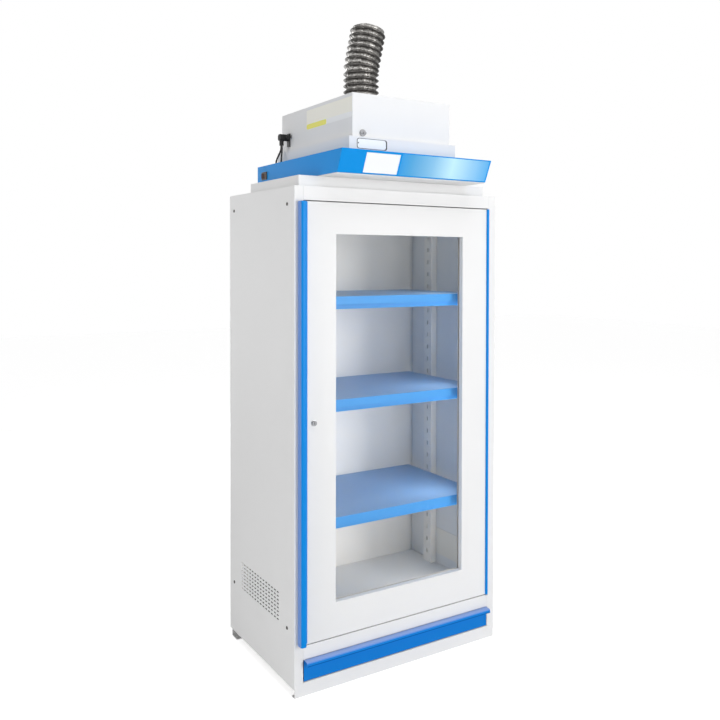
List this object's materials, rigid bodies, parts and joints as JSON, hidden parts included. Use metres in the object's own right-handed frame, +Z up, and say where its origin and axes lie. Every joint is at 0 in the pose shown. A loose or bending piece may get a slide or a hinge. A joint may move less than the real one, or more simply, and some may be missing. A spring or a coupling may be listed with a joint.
{
  "type": "ventilated storage cabinet",
  "caption": "Tall ventilated storage cabinet with a glazed door, perforated shelves, a base drawer and a roof filter unit with an exhaust duct.",
  "frame": {"origin": "on the floor, below the centre of the whole object's box", "axes": "+Z up, -Y towards the user, +X to the user's right when facing the door"},
  "size_m": [0.9036, 0.722, 2.494],
  "materials": {
    "white_enamel": "satin powder coat",
    "blue_enamel": "satin powder coat",
    "zinc_steel": "zinc plated",
    "dark_metal": "satin",
    "seal_rubber": "matte",
    "black_rubber": "matte",
    "black_plastic": "matte",
    "display": "glossy",
    "window_glass": "clear",
    "duct_foil": "crumpled foil",
    "board": "satin",
    "rocker": "glossy",
    "filter_medium": "matte"
  },
  "bodies": {
    "cabinet": {"base_rail_front": "white_enamel", "base_rail_rear": "white_enamel", "bottom_panel": "white_enamel", "side_panel_left": "white_enamel", "side_panel_right": "white_enamel", "back_panel": "white_enamel", "top_panel": "white_enamel", "middle_rail": "white_enamel", "chamber_floor": "white_enamel", "door_gasket": "seal_rubber", "upright_front_left": "white_enamel", "upright_front_right": "white_enamel", "upright_rear_left": "white_enamel", "upright_rear_right": "white_enamel", "shelf_lower": "blue_enamel", "shelf_middle": "blue_enamel", "shelf_upper": "blue_enamel", "runner_outer_left": "zinc_steel", "runner_outer_right": "zinc_steel", "pivot_top": "blue_enamel", "pivot_bottom": "blue_enamel", "roof_spacer": "white_enamel", "air_collar": "zinc_steel", "console_base": "white_enamel", "console_cover": "blue_enamel", "touch_display": "display", "control_board": "board", "switch_bezel": "black_plastic", "filter_base": "white_enamel", "filter_cassette": "filter_medium", "filter_hood": "white_enamel", "fan_plate": "zinc_steel", "motor_bridge": "zinc_steel", "fan_motor": "black_plastic", "exhaust_spigot": "zinc_steel", "hose_clamp": "zinc_steel", "exhaust_duct": "duct_foil", "power_inlet": "black_plastic", "power_plug": "black_rubber", "power_lead_front": "black_rubber", "power_lead_rear": "black_rubber"},
    "door": {"door_frame": "white_enamel", "door_liner": "white_enamel", "door_glass": "window_glass", "glazing_seal": "seal_rubber", "door_grip": "blue_enamel", "hinge_strip": "blue_enamel", "lock_housing": "zinc_steel"},
    "door_lock": {"lock_core": "dark_metal"},
    "drawer": {"drawer_front": "blue_enamel", "drawer_box": "white_enamel", "runner_inner_left": "zinc_steel", "runner_inner_right": "zinc_steel"},
    "runner_left": {"runner_middle_left": "zinc_steel"},
    "runner_right": {"runner_middle_right": "zinc_steel"},
    "mains_switch": {"switch_rocker": "rocker"},
    "fan": {"impeller": "zinc_steel"},
    "hood_latch": {"hood_lock": "zinc_steel"}
  },
  "joints": [
    {"name": "door_hinge", "type": "hinge", "parent": "cabinet", "child": "door", "pos_m": [0.4105, -0.2435, 0.182], "axis": [0, 0, 1], "range_deg": [0, 115]},
    {"name": "door_lock_turn", "type": "hinge", "parent": "door", "child": "door_lock", "pos_m": [-0.3737, -0.239, 0.9638], "axis": [0, -1, 0], "range_deg": [0, 90]},
    {"name": "drawer_slide", "type": "slide", "parent": "cabinet", "child": "drawer", "axis": [0, -1, 0], "range_m": [0, 0.4]},
    {"name": "runner_left_slide", "type": "slide", "parent": "cabinet", "child": "runner_left", "axis": [0, -1, 0], "range_m": [0, 0.2]},
    {"name": "runner_right_slide", "type": "slide", "parent": "cabinet", "child": "runner_right", "axis": [0, -1, 0], "range_m": [0, 0.2]},
    {"name": "mains_switch_tilt", "type": "hinge", "parent": "cabinet", "child": "mains_switch", "pos_m": [-0.327, 0.289, 1.884], "axis": [0, 0, -1], "range_deg": [0, 20]},
    {"name": "fan_spin", "type": "hinge", "parent": "cabinet", "child": "fan", "pos_m": [0, 0.073, 2.055], "axis": [0, 0, 1], "continuous": true},
    {"name": "hood_lock_turn", "type": "hinge", "parent": "cabinet", "child": "hood_latch", "pos_m": [-0.175, -0.237, 2.005], "axis": [0, -1, 0], "range_deg": [0, 90]}
  ],
  "couplings": [
    {"joint": "runner_left_slide", "follows": "drawer_slide", "ratio": 0.5},
    {"joint": "runner_right_slide", "follows": "drawer_slide", "ratio": 0.5}
  ]
}
